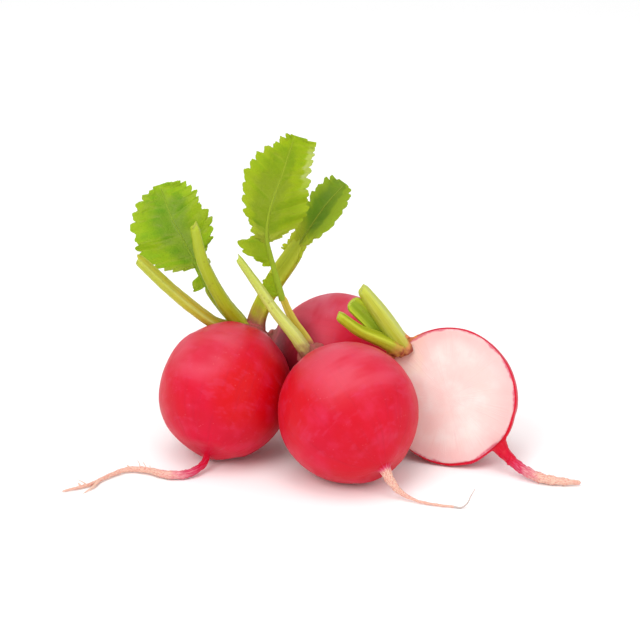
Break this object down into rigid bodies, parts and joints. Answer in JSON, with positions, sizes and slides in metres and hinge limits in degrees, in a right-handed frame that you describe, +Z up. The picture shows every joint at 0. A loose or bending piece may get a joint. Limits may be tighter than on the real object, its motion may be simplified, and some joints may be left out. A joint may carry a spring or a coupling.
{
  "type": "bunch of radishes",
  "caption": "Small bunch of red globe radishes lying down, some whole and one halved, with curved taproots, trimmed stalks and a few toothed leaves.",
  "frame": {"origin": "middle of the bunch's box, on the table", "axes": "+Z up, +Y away from someone looking at the cut face, +X to their right, along the row of tails"},
  "size_m": [0.1244, 0.0714, 0.0809],
  "materials": {
    "skin": "smooth crimson root skin with a soft moist sheen, paling to peach on the taproots",
    "flesh": "moist off-white cut flesh with a pink blush inside the skin",
    "stalk": "smooth yellow-green leaf stalk",
    "leaf": "soft yellow-green leaf blade with fine veins"
  },
  "bodies": {
    "root": {"front_radish": "skin", "left_radish": "skin", "back_radish": "skin", "half_radish": "flesh", "left_stalk_thin": "stalk", "left_stalk_thick": "stalk", "left_leaf_stalk": "stalk", "right_leaf_stalk": "stalk", "front_stalk": "stalk", "middle_leaf_stalk": "stalk", "back_stalk_upper": "stalk", "back_stalk_lower": "stalk", "half_stalk_upper": "stalk", "half_stalk_middle": "stalk", "half_stalk_lower": "stalk", "left_leaf": "leaf", "middle_leaf": "leaf", "right_leaf": "leaf"}
  },
  "joints": []
}
